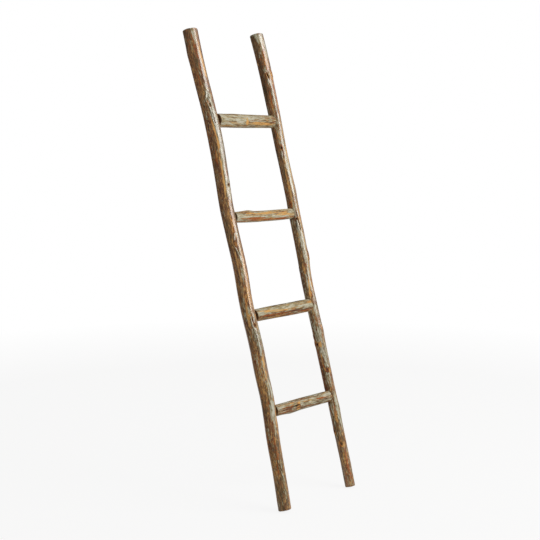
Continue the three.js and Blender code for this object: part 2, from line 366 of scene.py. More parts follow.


# %% [markdown]
# ## Knots, cracks and ridges
#
# A knot is the stump of a side branch: a raised collar, darker wood inside it and often a
# hollow where the heart has rotted out, painted darker as the shade in it. The grain parts and
# flows round it. A drying crack is a thin wedge along the grain, painted dark as the shade inside
# it. A ridge is a rib of pale wood beside a knot, where two stems grew together, with a groove
# beside it painted darker as shade. Each is written as a small form over the distances to its
# place.

# %% Cut one knot, crack or ridge
def bell(distance):
    return np.exp(-(distance**2))


def knot(skin, along, out, size, rise=1.0, hollow=1.5, long=1.7, tilt=0.0, rust=0.8, dark=0.7):
    """A branch stump: a collar, a hollow, and darker wood with painted shade in the hollow."""
    up, round_ = skin.off(along, out, tilt)
    away = np.hypot(up / long, round_) / size
    collar = bell((away - 1) / 0.45)
    skin.relief += rise * collar - hollow * bell(away / 0.55)
    # painted shade in the hollow, together with the darker heart wood
    skin.deep += dark * bell(away / 0.5)
    skin.rust += rust * collar
    skin.wash -= 4 * bell(away / 0.9)
    skin.wax -= 1.5 * bell(away / 1.3)
    apart = round_ / (np.abs(round_) + size / 2)
    pushed = 0.8 * size * apart * bell(up / (1.8 * long * size))
    skin.aside += pushed * bell(round_ / (2.5 * size))


def crack(skin, points, wide=1.0, depth=2.2):
    """A wedge that opened along a line as the pole dried, painted dark as the shade inside it."""
    round_, open_ = skin.line(points)
    cut = open_ * bell(round_ / (1.6 * wide * (0.4 + 0.6 * open_)))
    skin.relief -= depth * cut
    # painted shade inside the crack
    skin.deep += 0.9 * cut
    skin.rust += 2 * cut
    skin.wash -= 3 * cut


def lump(skin, along, out, length, wide, rise):
    """A soft swelling."""
    up, round_ = skin.off(along, out)
    skin.relief += rise * bell(np.hypot(2 * up / length, 2 * round_ / wide))


def ridge(skin, points, wide=2.2, rise=1.2, wash=2.0, bare=0.0):
    """A pale rib along a line, with a groove on its left that is carved and painted darker as
    shade.
    """
    round_, taper = skin.line(points)
    rib = taper * bell(round_ / wide)
    groove = taper * bell((round_ + 1.9 * wide) / wide)
    skin.relief += rise * rib - 0.5 * rise * groove
    skin.wash += wash * rib
    skin.bare += bare * rib
    # painted shade in the groove
    skin.deep += 0.25 * groove


def stain(skin, kind, along, out, length, wide, much=1.3, tilt=0.0):
    """A patch with ragged ends where there is more of something, such as wash or rust."""
    up, round_ = skin.off(along, out, tilt)
    inside = 1.15 - np.hypot(2 * up / length, 2 * round_ / wide) + 0.35 * skin.ragged
    getattr(skin, kind)[:] += much * np.clip(1.8 * inside, 0, 1)


def stains(skin, kind, places):
    for place in places:
        stain(skin, kind, *place)


peel(trial)
knot(trial, along=700, out=3, size=6)
deepest, highest = trial.relief.min().round(2), trial.relief.max().round(2)
print("relief of a trial skin:", deepest, "to", highest, "mm")

# %% [markdown]
# ## Age and chance
#
# A rail is waxed best where it is handled. A line a little right of the side facing the camera,
# where the light's highlight runs, is painted with paler wash and more ochre, less towards the
# foot: a painted highlight. The half that the photograph doesn't show has knots and cracks of the
# same kinds as the half that it does. Their places come by chance from the pole's own seed, so
# they are the same each time.

# %% Age a skin
PAINTED_HIGHLIGHT_OUT, PAINTED_HIGHLIGHT_WIDTH = 13, 9  # the painted highlight line, in mm round from the side facing the camera, and its width
FAR_SIDE = 50, 110  # how far round the unseen half lies


def age(skin, top_wax, foot_wax, worn=0.0, pale=0.0, highlight_ochre=0.0):
    """More wax near the top, barer wood near the floor, and a painted highlight of pale wash and
    ochre along one line.
    """
    height = skin.along / skin.pole.length
    # Painted highlight: paler wash and more ochre along the line where the highlight runs, fading
    # out towards the foot.
    painted_highlight = bell(skin.round_from(PAINTED_HIGHLIGHT_OUT) / PAINTED_HIGHLIGHT_WIDTH) * np.clip(2 * height - 0.3, 0, 1)
    skin.wax += foot_wax + (top_wax - foot_wax) * height
    skin.wash += 0.3 * skin.streaks(long=60, wide=5) - 0.2 * height + pale * painted_highlight
    skin.bare += 0.35 * skin.streaks(long=50, wide=4) + worn * (0.5 - height) + highlight_ochre * painted_highlight
    skin.rust += 0.35 * skin.streaks(long=40, wide=4) + 1.8 * worn * (height - 0.4)


def far_side(skin, knots, cracks):
    """Marks of the same kinds on the half that the photograph doesn't show, by seeded chance."""
    pick = skin.chance.uniform
    for _ in range(knots):
        place = pick(60, skin.pole.length - 60), pick(*FAR_SIDE)
        form = {"size": pick(5, 9), "rise": pick(0.5, 1.1), "hollow": pick(0, 2)}
        knot(skin, *place, **form, dark=pick(0, 1))
    for _ in range(cracks):
        along, out, drift = pick(100, skin.pole.length - 100), pick(45, 115), pick(-6, 6)
        bent = [(along + step * 40, out + step * drift) for step in (-1, 0, 1)]
        crack(skin, bent, wide=0.8)


# The share of a trial skin that the painted highlight line covers.
highlight_share = (bell(trial.round_from(PAINTED_HIGHLIGHT_OUT) / PAINTED_HIGHLIGHT_WIDTH) > 0.5).mean()
print("hands rub", round(100 * highlight_share), "per cent of a trial skin")

# %% [markdown]
# ## The left rail
#
# Its marks are placed as the photograph shows them, from the top down. The largest is a pair of
# pale ribs that part round a rusty hollow, a hand's breadth above the top rung, where a side
# stem was cut off. A stain says how far along its middle lies and how far round, then its length
# and width, and then how strong and how tilted it is, where that isn't usual.

# %% Work the left rail
def work_left_rail():
    busy = [1541, 1500, 1455, 1219, 1010, 970, 710, 660, 551, 400, 145]
    skin = Skin(left_rail, busy, seed=11)
    peel(skin)
    # The last two numbers set the pale wash and the ochre of the painted highlight line.
    age(skin, top_wax=1.3, foot_wax=0.3, worn=0.5, pale=1.4, highlight_ochre=0.45)
    knot(skin, 1527, 9, size=4.6, rise=0.5, hollow=1.7, long=2.6, tilt=-12, rust=1.6, dark=0.25)
    knot(skin, 1552, 13, size=2.6, rise=0.4, hollow=1.4, long=2.6, dark=0.6)
    left_rib = [(1580, 10), (1560, 2), (1545, -2), (1527, 3), (1505, 8), (1485, 9), (1465, 7)]
    ridge(skin, [*left_rib, (1440, 11)], rise=1.8, wash=2.6)
    ridge(skin, [(1575, 16), (1548, 11), (1530, 15), (1500, 17)], wide=2.4, rise=1.3)
    crack(skin, [(1500, 12), (1478, 13), (1450, 13)], depth=1.0)
    ridge(skin, [(1450, 14), (1425, 14), (1395, 16)], wide=2.6, rise=0.8)
    knot(skin, 1219, 25, size=6, rise=0.8, hollow=1.2, long=1.0, dark=1.2)
    knot(skin, 1095, 9, size=4, rise=0.3, hollow=0.8, dark=1.0)
    knot(skin, 997, 5, size=4.4, rise=0.8, hollow=1.6, long=1.0, rust=1.6, dark=0.5)
    ridge(skin, [(1036, 10), (1020, 5), (1006, 1)], wide=2.4, rise=1.4, wash=3.2)
    ridge(skin, [(994, -4), (975, 3), (958, 8), (930, 11)], wide=2.6, rise=1.8, wash=3.6)
    crack(skin, [(1024, 12), (1008, 9)], wide=0.7, depth=1.2)
    crack(skin, [(988, 4), (968, 9), (948, 12)], wide=0.6, depth=1.2)
    crack(skin, [(728, 12), (712, 10), (698, 10)], wide=1.2, depth=2.0)
    ridge(skin, [(722, 6), (700, 5), (686, 7)], wide=2.0, rise=1.3, wash=3.4)
    ridge(skin, [(694, 2), (676, 9), (656, 13)], wide=2.2, rise=1.3, wash=3.4)
    knot(skin, 687, 15, size=6, rise=0.6, hollow=2.0, long=1.0, dark=1.6)
    ridge(skin, [(660, 13), (640, 12), (610, 12), (575, 17)], wide=4.5, rise=0.9, wash=2.6)
    crack(skin, [(658, 10), (640, 10), (622, 12)], wide=0.8, depth=1.0)
    knot(skin, 554, -17, size=4, hollow=1.0, long=0.8, dark=0.9)
    knot(skin, 388, -12, size=6, rise=0.6, hollow=0.5, long=0.8, dark=0.3)
    ridge(skin, [(442, 15), (420, 10), (405, 11), (388, 13), (365, 15)], wide=2.8)
    low_rib = [(185, 7), (163, 5), (145, 9), (125, 14), (100, 18)]
    ridge(skin, low_rib, wide=2.4, rise=1.8, wash=3.4)
    crack(skin, [(172, 6), (158, 9), (142, 13)], wide=1.1, depth=1.8)
    # Painted light among these stains: long wash patches about 9 to 20 mm round make the
    # highlight band paler, and bare and rust strips about 3 to 9 and 20 to 27 mm round paint the
    # ochre where shade meets light and along the lit right edge.
    stains(skin, "wash", [
        (1808, 10, 60, 11, 2.2, -8), (1760, -7, 150, 5, 0.7), (1645, 3, 26, 8, 1.8),
        (1535, 20, 120, 12, 1.5), (1480, -16, 11, 8, 1.6), (1330, 9, 300, 6, 1),
        (1270, -10, 70, 6), (1270, 15, 240, 12, 1.5), (1205, 27, 70, 10, 1.6),
        (1007, -7, 14, 9, 1.6), (940, 11, 70, 12, 2), (878, 5, 90, 13, 3), (842, 3, 22, 12, 1.8),
        (820, 17, 190, 14, -1.2), (747, 5, 34, 10, 1.6), (722, -17, 22, 10),
        (716, 19, 70, 8, 2.6), (645, 4, 44, 12, 3), (645, -17, 14, 8), (567, -12, 30, 16, 1.5),
        (560, 14, 160, 9, 1.4), (515, -1, 80, 14, 1.4), (438, 15, 60, 18, 2.2),
        (400, 20, 160, 10, 1.6), (375, 15, 110, 20, 2.6), (375, -8, 36, 14),
        (320, 22, 120, 8, 1.4), (300, 12, 120, 12, 1.2), (285, -13, 60, 9), (182, 6, 18, 9, 1.6),
        (172, 17, 34, 8, 1.8), (120, 0, 260, 40, -0.7), (100, 14, 150, 14, 1.8),
        (30, 14, 80, 10, 1.4),
    ])
    stains(skin, "bare", [
        (1715, 10, 260, 12, -1.4), (1700, 26, 240, 7, 2.8), (1425, 6, 120, 7, 2.8, -5),
        (1375, 9, 60, 10, 2), (1328, -5, 50, 10, 1.8), (1300, 7, 300, 10, 1),
        (1250, 6, 200, 10, 2.8), (1150, -4, 90, 8, -0.8), (1100, -6, 180, 16, 0.6),
        (1098, 5, 90, 8, 1.8), (985, -5, 20, 7), (960, 21, 90, 8, 1.6), (945, -4, 60, 9, 1.4),
        (910, -10, 130, 10, -1.2), (880, 23, 140, 7, 2.2), (880, -4, 80, 5, 1.6),
        (870, 25, 60, 7, 1.4), (820, -4, 260, 20, 0.7), (820, 17, 190, 14, 1.6),
        (795, 15, 90, 9, 2), (710, -5, 60, 12, 1.4), (679, 22, 26, 8, 1.8),
        (677, 7, 40, 6, 1.6, -18), (560, 20, 200, 6, 1.8), (560, 18, 60, 8, 0.8),
        (505, 16, 120, 10, 1.4), (403, 23, 18, 7), (380, 0, 800, 300, 0.35),
        (370, 21, 260, 9, -1.6), (272, 16, 30, 10, 0.8), (265, 5, 60, 14, 0.5),
        (60, 0, 160, 40, -0.7), (40, 16, 110, 14, -1.2),
    ])
    stains(skin, "rust", [
        (1770, 6, 110, 10, 0.9), (1660, -5, 90, 8, 2.2), (1520, -2, 60, 6, 1.8),
        (1440, 4, 150, 5, 2.6, -5), (1325, -6, 80, 10, 1.8), (1262, 23, 60, 5, 1.5),
        (1035, -1, 22, 6, 1.6), (830, 5, 26, 8, 1.6), (788, 3, 64, 9, 2), (640, 11, 34, 4, 3),
        (402, 4, 22, 5, 1.5), (328, 17, 36, 8, 1.5), (262, -22, 30, 6), (255, 5, 40, 9, 2),
        (208, 9, 60, 12, 1.1), (152, 0, 60, 6, 2), (145, 23, 26, 8, 1.5), (102, -1, 24, 14),
    ])
    far_side(skin, knots=9, cracks=7)
    return skin


left_skin = work_left_rail()
print("left rail rows:", len(left_skin.along))

# %% [markdown]
# ## The right rail
#
# The right rail is the thinner pole, with more and rounder knots. Two of them stand out at its
# right edge, and three have lost their hearts and show as small dark holes.

# %% Work the right rail
def work_right_rail():
    busy = [1658, 1345, 1193, 1133, 1060, 920, 763, 622, 570, 463, 330, 172]
    skin = Skin(right_rail, busy, seed=23)
    peel(skin)
    # The last two numbers set the pale wash and the ochre of the painted highlight line.
    age(skin, top_wax=1.1, foot_wax=0.25, worn=0.3, pale=1.1, highlight_ochre=0.1)
    knot(skin, 1659, 5, size=4.4, hollow=2.0, long=1.8, dark=0.9)
    crack(skin, [(1668, 3), (1657, 6), (1645, 9)], wide=1.3, depth=2.4)
    ridge(skin, [(1682, 2), (1664, 0), (1648, 2), (1622, 5)], rise=1.5, wash=1.6, bare=2.6)
    ridge(skin, [(1674, 13), (1657, 14), (1642, 11)], wide=2.0, rise=1.5, wash=1.6, bare=2.2)
    knot(skin, 1660, 30, size=8, rise=1.4, hollow=0, rust=0.5, dark=0)
    knot(skin, 1362, 2, size=5.6, rise=0.5, hollow=3.0, long=1.4, rust=0.2, dark=2.2)
    crack(skin, [(1360, 3), (1350, 5), (1340, 6), (1328, 2), (1316, 1)], wide=0.8, depth=1.4)
    ridge(skin, [(1352, 0), (1336, 0), (1318, -1)], wide=2.8, rise=0.8, wash=2.6)
    knot(skin, 1133, -9, size=5, rise=0.4, hollow=0.8)
    knot(skin, 1072, 5, size=5.6, rise=0.7, hollow=2.4, long=1.1, rust=0.2, dark=2.0)
    crack(skin, [(1106, 5), (1090, 8), (1074, 7)], wide=0.7, depth=1.6)
    crack(skin, [(1072, 1), (1055, -2), (1036, -3)], wide=1.1, depth=1.4)
    crack(skin, [(1072, 9), (1050, 11), (1020, 11)], wide=1.2, depth=1.6)
    ridge(skin, [(1066, 4), (1050, 4), (1024, 5)], wide=2.8, rise=1.1, wash=2.6)
    crack(skin, [(1045, 21), (1028, 20), (1012, 20)], depth=1.0)
    knot(skin, 920, 30, size=8, rise=1.2, hollow=0, rust=0.5, dark=0)
    knot(skin, 770, 4, size=5, rise=0.9, hollow=0.5, rust=2.5, dark=0.1)
    knot(skin, 757, 5, size=3.4, rise=0.4, hollow=1.0, long=1.0, dark=0.9)
    knot(skin, 627, -6, size=2.4, rise=0.3, hollow=0.6, dark=0.6)
    knot(skin, 570, -14, size=6, rise=0.6, hollow=1.2, long=1.2, rust=0.2, dark=1.7)
    knot(skin, 464, 6, size=6, hollow=1.2, long=1.1, dark=0.6, rust=2.0)
    crack(skin, [(292, -12), (276, -12), (262, -11)], wide=0.6, depth=0.8)
    knot(skin, 172, -2, size=6, rise=0.9, hollow=1.8, long=1.5, rust=1.5, dark=0.9)
    # Painted light among these stains: long wash bands near the middle and about 13 to 18 mm
    # round paint the rail lighter where the light reaches it and paler under the highlight, and
    # long bare strips about 20 to 24 mm round paint the ochre of the lit right edge.
    stains(skin, "wash", [
        (1815, 4, 80, 22, 2, -20), (1765, 24, 180, 14, 2.2), (1760, -9, 80, 14, -2.2),
        (1682, 5, 26, 9, 1.6), (1681, -3, 20, 12, 1.6), (1660, -8, 14, 7), (1660, 8, 30, 14, 1),
        (1633, 5, 36, 10, 2.2), (1445, -3, 40, 12, 1.5), (1382, 2, 16, 8, 2),
        (1350, 1, 500, 9, 1.4), (1336, 0, 36, 9, 2), (1240, 14, 200, 14, 2),
        (1050, 4, 60, 7, 1.5), (1050, 0, 300, 9, 0.8), (960, 9, 90, 12, 1.8),
        (850, 12, 190, 7, 2.4), (850, 18, 1000, 10, 1.3), (835, -1, 80, 8, 1.6),
        (800, -2, 100, 7, 1.8), (720, -6, 60, 8), (710, -8, 60, 12, 1), (677, -6, 50, 14, 1.4),
        (670, 0, 90, 14, 1.2), (635, -10, 130, 14, 1.4), (590, -3, 230, 30, 1.1),
        (567, -4, 28, 14, -4), (545, -3, 50, 14, 1), (497, 10, 60, 14, 2.2), (430, 4, 100, 26, 2),
        (425, 8, 70, 20, 2), (400, -10, 60, 10, 1.4), (345, 8, 170, 16, 1.6),
        (340, 14, 180, 14, 1.5), (320, -8, 110, 10, 1.6), (250, 10, 60, 10, 1.4), (200, 1, 50, 8),
        (200, -4, 500, 50, -0.5), (150, -1, 36, 7, 1.6), (145, 19, 26, 7, 1.8),
        (32, 8, 64, 8, 1.8),
    ])
    stains(skin, "bare", [
        (1655, 24, 26, 11, 1.8), (1435, 24, 220, 7, 2.6), (1420, 0, 60, 7, 2),
        (1400, 3, 40, 6, 1.6), (1350, -7, 70, 6, 1.8), (1300, 0, 420, 10, 1.3),
        (1250, -4, 60, 10, 1.4), (1240, 22, 300, 5, 2.2), (1192, -3, 110, 12, 2.4),
        (988, -4, 70, 7, 1.5), (980, 20, 300, 5, 2), (912, -6, 30, 9), (868, -3, 44, 12, 1.6),
        (850, 10, 200, 24, -0.8), (805, 6, 90, 6, 4, 6), (772, 4, 26, 9, 2.4),
        (640, -4, 160, 18, -1), (632, 22, 26, 6, 1.6), (567, -3, 26, 13, 6),
        (500, -7, 70, 7, 2.2), (467, -3, 18, 7, 2.4), (460, 15, 26, 8, 2.6),
        (450, 4, 480, 40, -0.9), (276, 0, 44, 16, 2), (205, 6, 36, 9, -1.5),
        (200, 0, 450, 300, 0.2), (170, -12, 36, 9, 1.6), (170, 13, 46, 9, 1),
        (110, -1, 50, 6, 1.4), (80, 8, 120, 16, -0.6),
    ])
    stains(skin, "rust", [
        (1725, 6, 110, 9, 1.4), (1615, 8, 44, 8, 1.5), (1560, 24, 130, 8, 2.6),
        (1556, 0, 90, 7, 3.4), (1004, 4, 22, 9, 1.5), (697, 5, 24, 6, 1.6),
        (650, 17, 180, 5, 1.6), (648, 15, 36, 5, 1.6), (510, -7, 70, 8, 0.8),
        (477, -4, 20, 10, 1.5), (440, 13, 20, 6, 1.6), (417, -12, 60, 5, 1.4), (385, 5, 70, 5),
        (312, 1, 56, 9, 2), (85, 8, 130, 8, 2.2), (60, -10, 100, 14, 1), (30, 17, 40, 6, 1.6),
    ])
    # Painted shade: the rail's left edge, on the side away from the light, is painted darker near
    # the top.
    stains(skin, "deep", [
        (1700, -22, 240, 20, 0.25), (1600, -20, 120, 18, 0.2), (1420, -18, 90, 14, 0.2),
    ])
    far_side(skin, knots=12, cracks=6)
    return skin


right_skin = work_right_rail()
print("right rail rows:", len(right_skin.along))

# %% [markdown]
# ## The rungs
#
# The rungs carry more of the sage wash, in long streaks. Each also has marks of its own: a band
# of bare wood, a rusty line along the lower side, or a knot.

# %% Work the rungs
# The long stripes down the lower side of most rungs hold less wash and ochre and, on rung_3, more
# rust, so most rungs are darker along their lower side.
RUNG_MARKS = {
    "rung_4": {
        "wash": [
            (35, 0, 90, 34, 1), (168, -2, 30, 9, 1.6), (194, -14, 160, 12, 1),
            (105, 3, 60, 18, 2.2),
        ],
        "bare": [
            (150, 0, 500, 24, -0.6), (58, -4, 40, 8), (62, 14, 80, 9, 2), (144, 6, 12, 17, 2.2),
            (224, 14, 100, 9, 1.8),
        ],
        "rust": [
            (105, -25, 60, 4, 2), (138, -17, 14, 7), (246, 15, 60, 6, 2), (134, 24, 60, 4, 1.6),
        ],
    },
    "rung_3": {
        "wash": [
            (15, -2, 60, 24, 1.2), (102, -14, 18, 9, 2), (125, 3, 180, 5, 1.5),
            (150, 18, 400, 12, -1.6),
        ],
        "bare": [(150, -7, 160, 11, 2.8), (240, -2, 110, 11, 2.6), (61, -10, 50, 12, 2)],
        "rust": [
            (66, -12, 30, 8, 1.4), (80, 11, 130, 9, 3.8), (190, 15, 170, 9, 3.8),
            (150, 20, 400, 8, 1.6),
        ],
    },
    "rung_2": {
        "wash": [
            (20, -4, 60, 26, 1), (206, -8, 160, 14, 1), (260, 0, 70, 16, 1.2),
            (150, 9, 500, 24, -2),
        ],
        "bare": [
            (70, -7, 110, 12, 2.2, 2), (190, -2, 90, 10, 1.4, 2), (130, -2, 120, 5, 1.8, 2),
            (150, 9, 500, 22, -0.7),
        ],
        "rust": [
            (54, 8, 80, 8, 3, 2), (168, 11, 130, 5, 2.6, 2), (250, 16, 90, 5, 2.4, 2),
            (133, 20, 160, 6),
        ],
        "deep": [
            (150, 9, 200, 3, 0.4), (60, 13, 70, 3, 0.35), (235, 4, 70, 3, 0.35),
            (90, 1, 60, 2.4, 0.3),
        ],
    },
    "rung_1": {
        "wash": [
            (150, -14, 500, 16, 1.2), (150, 12, 500, 26, -1.4), (150, 0, 500, 14, -0.6),
            (135, 0, 20, 14, 2), (165, 2, 120, 18, 1),
        ],
        "bare": [(150, 0, 500, 400, -1.3), (124, -12, 20, 9, 4.5), (117, 14, 22, 9, 4.5)],
        "rust": [
            (45, -4, 90, 5, 1.4, 2), (64, 18, 80, 9, 1.4), (183, 12, 80, 4, 2, 2),
            (256, -5, 80, 4, 2.6, 2),
        ],
        "deep": [
            (112, -1, 40, 4, 0.6), (62, -3, 90, 3, 0.4), (200, 4, 90, 3, 0.4),
            (250, 10, 70, 3, 0.4), (78, 8, 60, 3, 0.4), (160, -6, 50, 2.4, 0.3),
            (30, 4, 50, 3, 0.35), (225, -8, 60, 2.4, 0.3),
        ],
    },
}


def work_rung(pole, seed):
    busy = [40, 100, 140, 200]
    skin = Skin(pole, busy, seed, RUNG_FACING)
    peel(skin)
    age(skin, top_wax=0.2, foot_wax=0.2)
    for kind, places in RUNG_MARKS[pole.node].items():
        stains(skin, kind, places)
    if pole.node == "rung_1":
        knot(skin, 116, 0, size=9, hollow=0.6, long=1.0, dark=0.1)
        crack(skin, [(101, -1), (110, -2), (118, -4)], wide=1.4, depth=1.6)
    if pole.node == "rung_3":
        lump(skin, 77, -34, 34, 26, rise=2.5)
    if pole.node == "rung_4":
        stain(skin, "bare", 145, -4, 9, 44, 2.0)
    return skin


rung_skins = [work_rung(pole, seed=40 + i) for i, pole in enumerate(rungs)]
print("rung rows:", [len(skin.along) for skin in rung_skins])

# %% [markdown]
# ## Sawn ends
#
# The poles are sawn square. A sawn face is a little dished and shows the saw's marks, and
# drying opens checks in it, which run from the heart to the rim. The edge round it is worn round,
# more in some places than in others.

# %% Shape the sawn faces
RAIL_WEAR, SHOULDER_WEAR = 2.6, 1.4
FACE_ROWS = 10
HEART = 0.06  # the innermost row of a face, as a share of its rim
DISH = 0.5
CHECK_DEPTH, CHECK_WIDTH = 2.5, 0.9
SAW_DEPTH, SAW_WAVE, SAW_TURN = 0.07, 2.3, 0.4
SHOWN = ("wash", "bare", "rust", "deep", "wax", "aside", "sawn")


def band(along, radius, **shown):
    """Some rows of a closed pole: where they lie and what the finish is told there."""
    shape = np.broadcast_shapes(np.shape(along), np.shape(radius))
    values = {name: shown.get(name, 0.0) for name in SHOWN} | {"along": along, "radius": radius}
    return {name: np.broadcast_to(value, shape) for name, value in values.items()}


def skin_band(skin, wear):
    """The skin, with both its edges worn round over about so many millimetres."""
    from_end = np.minimum(skin.along, skin.pole.length - skin.along)
    ragged = wear * (1 + 0.3 * np.clip(skin.ragged[:1], -1.5, 2.5))
    lost = ragged * (1 - np.sqrt(1 - np.clip(1 - from_end / ragged, 0, 1) ** 2))
    shown = {name: getattr(skin, name) for name in SHOWN[:-1]}
    shown["wax"] = skin.wax - 2 * np.clip(lost, 0, 1)
    return band(skin.along, skin.radius + skin.relief - lost, **shown)


def face_band(skin, rim, hub, at, inwards, checks=(), painted_shade=0.0):
    """A sawn face from its rim to its hub, with painted shade in its checks and, where given,
    over the whole face. Inwards is 1 at the first end and -1 at the last.
    """
    share = np.linspace(1, 0 if hub else HEART, FACE_ROWS)[:, None]
    radius = hub + (rim - hub) * share
    turns = [shorter_way(skin.angle - math.radians(side)) for side in checks]
    cuts = (bell(turn * radius / CHECK_WIDTH) for turn in turns)
    open_ = sum(cuts, np.zeros_like(radius)) * share
    marks = SAW_DEPTH * np.sin(SAW_WAVE * radius * np.cos(skin.angle - SAW_TURN))
    depth = DISH * (1 - share**2) + marks + CHECK_DEPTH * open_
    # Painted shade: the checks, and the whole face of a shoulder that the rail shades, are
    # painted darker.
    return band(at + inwards * depth, radius, deep=np.maximum(open_, painted_shade), sawn=1.0)


print("sawn faces have", FACE_ROWS, "rows")

# %% [markdown]
# ## From rows to a mesh
#
# The bands are stacked into one long sheet, joined into four-sided faces and closed with a fan
# at each end. What the finish is told travels with the points as attributes, and so does the
# grain: the place of each point in a straight, unbent pole. A pattern drawn in the grain's space
# follows the crooked pole, bends round its knots and shows its true section on a sawn face.

# %% Build the mesh of a pole
POLE_APART = 7.0  # metres between the poles in the grain's space, so that no two look alike


def turned_back(rows):
    return {name: values[::-1] for name, values in rows.items()}


def closed_sheet(count, sides):
    """Faces of a tube of so many rows, and the fans that close its two ends."""
    corner = np.arange(count * sides).reshape(count, sides)
    beside = np.roll(corner, -1, axis=1)
    tube = np.stack([corner[:-1], beside[:-1], beside[1:], corner[1:]], -1).reshape(-1, 4)
    first, last = count * sides, count * sides + 1
    low = [(first, b, a) for a, b in zip(corner[0].tolist(), beside[0].tolist())]
    high = [(last, a, b) for a, b in zip(corner[-1].tolist(), beside[-1].tolist())]
    return low + tube.tolist() + high


def told(mesh, name, values):
    """Stores a number or a vector for every point of a mesh."""
    kind, field = ("FLOAT", "value") if values.ndim == 1 else ("FLOAT_VECTOR", "vector")
    store = mesh.attributes.new(name, kind, "POINT")
    store.data.foreach_set(field, values.astype(np.float32).ravel())


def placed(name, points, faces):
    """A new object from points in metres."""
    mesh = bpy.data.meshes.new(name)
    mesh.from_pydata(points, [], faces)
    thing = bpy.data.objects.new(name, mesh)
    bpy.context.scene.collection.objects.link(thing)
    return thing


def make_piece(name, node, rows, shown):
    """A closed piece in a CAD node's place. Rows of points are joined and closed at both ends."""
    count, sides = rows.shape[:2]

    def with_hubs(values):
        flat = values.reshape(count * sides, *values.shape[2:])
        return np.concatenate([flat, values[[0, -1]].mean(axis=1)])

    piece = placed(name, as_it_stands(with_hubs(rows)).tolist(), closed_sheet(count, sides))
    for key, values in shown.items():
        told(piece.data, key, with_hubs(values))
    piece.data.shade_smooth()
    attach(piece, "root")
    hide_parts(node)
    return piece


def make_pole(skin, bands, number):
    """One closed pole from its bands, with the finish's attributes on it."""
    sheet = {key: np.concatenate([rows[key] for rows in bands]) for key in bands[0]}
    places = skin.pole.places(sheet["along"], sheet["radius"], skin.angle)
    turn = skin.angle - sheet["aside"] / np.maximum(sheet["radius"], 1)
    flat = [sheet["radius"] * np.cos(turn), sheet["radius"] * np.sin(turn), sheet["along"]]
    shown = {"grain": np.stack(flat, -1) * MM + [0, 0, number * POLE_APART]}
    shown |= {key: sheet[key] for key in SHOWN if key != "aside"}
    return make_piece(f"{skin.pole.node}_pole", skin.pole.node, places, shown)


def make_rail(skin, number, foot_checks, top_checks):
    body = skin_band(skin, RAIL_WEAR)
    foot = face_band(skin, body["radius"][0], 0, 0, 1, foot_checks)
    top = face_band(skin, body["radius"][-1], 0, skin.pole.length, -1, top_checks)
    return make_pole(skin, [turned_back(foot), body, top], number)


rail_pieces = [
    make_rail(left_skin, 0, [20, 150, -80], [-112, 10, 95]),
    make_rail(right_skin, 1, [-150, 60], [-60, 70, 170]),
]
for piece in rail_pieces:
    print(piece.name, len(piece.data.polygons), "faces")

# %% [markdown]
# A rung ends in a flat shoulder, with a tenon turned from the same pole in the middle of it. The
# shoulder only touches the round rail along its crest. On the left of the photograph a
# dark crescent shows where it stands off, so the shoulder and the tenon are real forms here too.

# %% Build the rungs
PEG_ROWS = 12
PEG_CHAMFER = 1.5
PEG_SHADE, SHOULDER_SHADE = 0.7, 0.4  # how dark the wood is that the rail keeps from the light


def peg_band(skin, shoulder, tip):
    """A tenon from its shoulder to its chamfered tip."""
    along = np.linspace(shoulder, tip, PEG_ROWS)[:, None]
    short = np.clip(PEG_CHAMFER - np.abs(tip - along), 0, PEG_CHAMFER)
    radius = np.broadcast_to(skin.pole.peg_radius - short, (PEG_ROWS, skin.pole.sides))
    # painted shade on the tenon, which the rail keeps from the light
    return band(along, radius, deep=PEG_SHADE, sawn=1.0)


def make_rung(skin, number):
    body = skin_band(skin, SHOULDER_WEAR)
    pole = skin.pole
    ends = []
    for row, at, tip, inwards in ((0, 0, pole.first, 1), (-1, pole.length, pole.last, -1)):
        rim = body["radius"][row]
        # The shoulder is painted darker, as the shade the rail throws on it.
        shoulder = face_band(skin, rim, pole.peg_radius, at, inwards, painted_shade=SHOULDER_SHADE)
        peg = peg_band(skin, at, tip)
        ends.append([shoulder, peg, face_band(skin, peg["radius"][-1], 0, tip, inwards)])
    start = [turned_back(rows) for rows in reversed(ends[0])]
    return make_pole(skin, [*start, body, *ends[1]], number)


rung_pieces = [make_rung(skin, number) for number, skin in enumerate(rung_skins, 2)]
for piece in rung_pieces:
    print(piece.name, len(piece.data.polygons), "faces")

# %% [markdown]
# ## Plugs over the screws
#
# A plug is cut from side grain, glued over the screw and pared flush. Years later it stands a
# hair proud, because the pole round it has shrunk. Its outer face follows the rail's own
# surface, which is felt for with straight lines from behind.

# %% Fit the plugs
PLUG_SIDES = 40
PLUG_PROUD = 0.12
PLUG_STEPS = [(1.0, 0.25), (0.95, 0.03), (0.75, 0.0), (0.4, 0.0), (0.1, 0.0)]  # out, eased
PLUG_LOOK = {"wash": 0.1, "rust": 0.2, "wax": 0.4, "bare": 0.0, "deep": 0.0, "sawn": 0.0}
WELL_BEHIND = 100.0
FIRST_PLUG = 10  # the poles have the places below this in the grain's space


def middle_of(points):
    return (points.min(axis=0) + points.max(axis=0)) / 2


def depth_behind(tree, x, z):
    """How far back a rail's surface lies on a straight line to the wall."""
    start = np.array([x, middle_of(corners_of("left_rail"))[1] + WELL_BEHIND, z])
    hit = tree.ray_cast(Vector(start @ ladder_axes * MM), Vector(-towards_wall))[0]
    return float(towards_wall @ np.array(hit)) / MM


